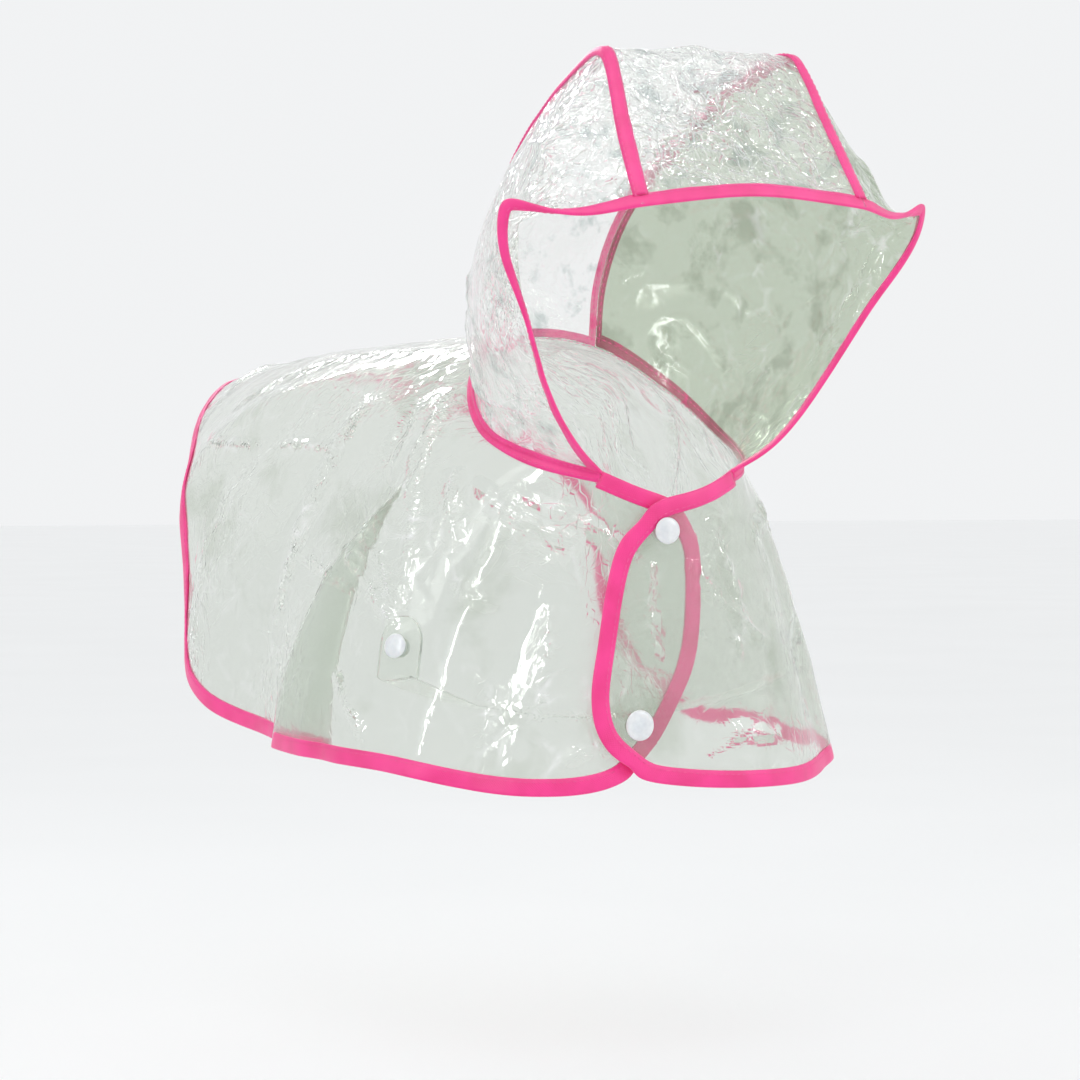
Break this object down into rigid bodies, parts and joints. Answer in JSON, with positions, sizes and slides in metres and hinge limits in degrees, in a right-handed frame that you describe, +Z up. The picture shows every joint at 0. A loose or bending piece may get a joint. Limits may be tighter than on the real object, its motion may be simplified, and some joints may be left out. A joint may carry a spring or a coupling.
{
  "type": "pet raincoat",
  "caption": "Worn clear-film pet rain cape with a peaked three-panel hood, overlapping rounded front flaps, coloured binding on every edge, press snaps and a belly strap.",
  "frame": {"origin": "the nape, where the neck seam crosses the middle of the back: here the wearer holds the garment up", "axes": "-Y the way the wearer faces, +X the wearer's left, +Z up"},
  "size_m": [0.2906, 0.5662, 0.3641],
  "materials": {
    "film": "thin clear glossy film, faint grey-green tint, creased",
    "tape": "hot pink woven bias binding, stitched",
    "snap": "white moulded plastic, smooth",
    "strap": "clear film, two layers welded"
  },
  "bodies": {
    "root": {"cape": "film", "hood_side_right": "film", "hood_side_left": "film", "hood_center": "film", "edge_tape": "tape", "face_tape": "tape", "neck_tape": "tape", "seam_tape_right": "tape", "seam_tape_left": "tape", "snap_upper_cap": "snap", "snap_upper_joint": "snap", "snap_upper_back": "snap", "snap_lower_cap": "snap", "snap_lower_joint": "snap", "snap_lower_back": "snap", "snap_flank_right_cap": "snap", "snap_flank_right_joint": "snap", "snap_flank_right_back": "snap", "snap_flank_left_cap": "snap", "snap_flank_left_joint": "snap", "snap_flank_left_back": "snap", "belly_strap": "strap"}
  },
  "joints": []
}
